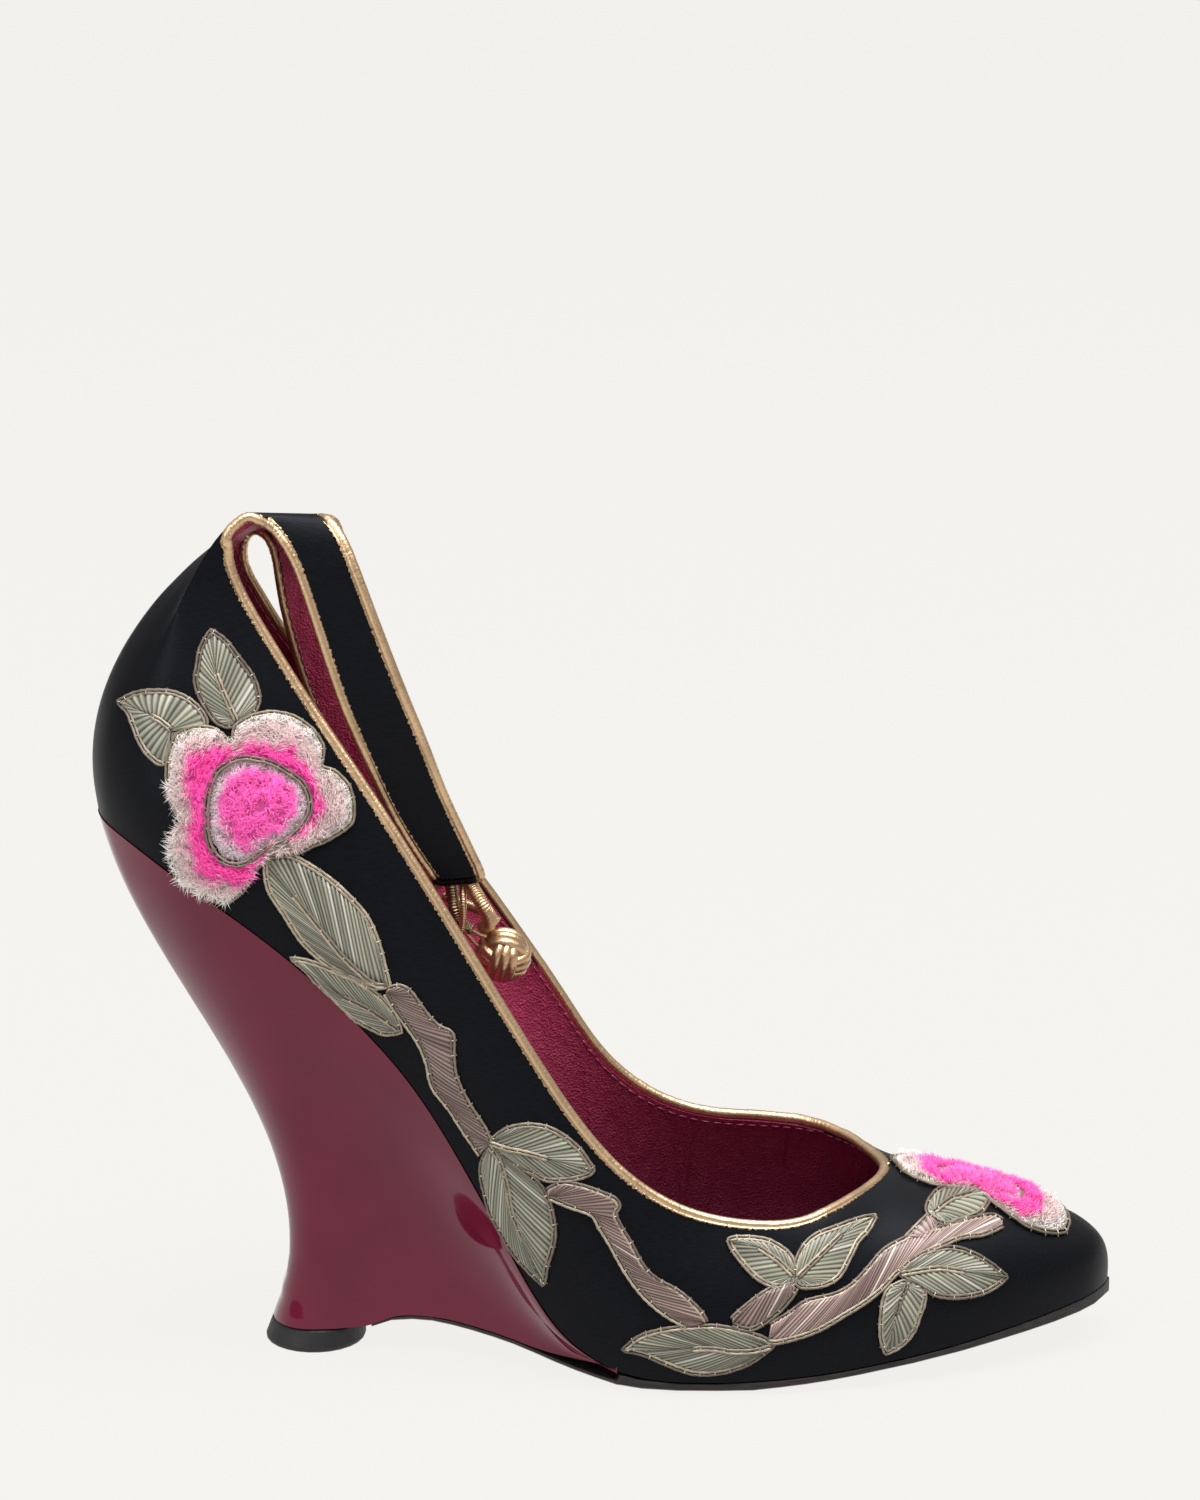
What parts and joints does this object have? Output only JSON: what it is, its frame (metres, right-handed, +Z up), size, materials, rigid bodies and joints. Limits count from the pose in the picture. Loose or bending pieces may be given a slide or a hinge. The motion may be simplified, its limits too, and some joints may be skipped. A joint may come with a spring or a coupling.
{
  "type": "high-heeled court shoe",
  "caption": "High-heeled evening court shoe, right foot, on a sculpted wedge heel, with an ankle strap that closes with a knot, piped edges and embroidered plush flowers.",
  "frame": {"origin": "on the floor, under the middle of the shoe's length and width", "axes": "+X from heel to toe, +Y towards the inner side of the right foot, +Z up"},
  "size_m": [0.206, 0.076, 0.1742],
  "materials": {
    "satin": "black duchess satin, soft sheen",
    "lining_kid": "burgundy kid leather, matt",
    "sole_leather": "black dyed edge, burgundy underneath",
    "patent_leather": "burgundy patent leather, high gloss",
    "heel_rubber": "black rubber, matt",
    "gilt_leather": "gold metallic leather, creased",
    "gilt_cord": "gold metallic leather cord, pleated",
    "plush_pale": "pale pink plush",
    "plush_hot_pink": "hot pink plush",
    "silk_sage": "sage green silk, satin stitch",
    "silk_mauve": "mauve brown silk, satin stitch"
  },
  "bodies": {
    "root": {"upper": "satin", "insole": "lining_kid", "outsole": "sole_leather", "wedge_heel": "patent_leather", "top_piece": "heel_rubber", "piping": "gilt_leather", "frog_loop": "gilt_cord", "frog_neck": "gilt_cord", "knot_ball": "gilt_leather", "flower_heel_petals": "plush_pale", "flower_heel_middle": "plush_hot_pink", "flower_toe_petals": "plush_pale", "flower_toe_middle": "plush_hot_pink", "leaf_a": "silk_sage", "leaf_b": "silk_sage", "leaf_c": "silk_sage", "leaf_d": "silk_sage", "leaf_e": "silk_sage", "leaf_f": "silk_sage", "leaf_g": "silk_sage", "leaf_h": "silk_sage", "leaf_i": "silk_sage", "leaf_j": "silk_sage", "leaf_k": "silk_sage", "leaf_l": "silk_sage", "branch_a": "silk_mauve", "branch_b": "silk_mauve", "branch_c": "silk_mauve", "branch_d": "silk_mauve"}
  },
  "joints": []
}
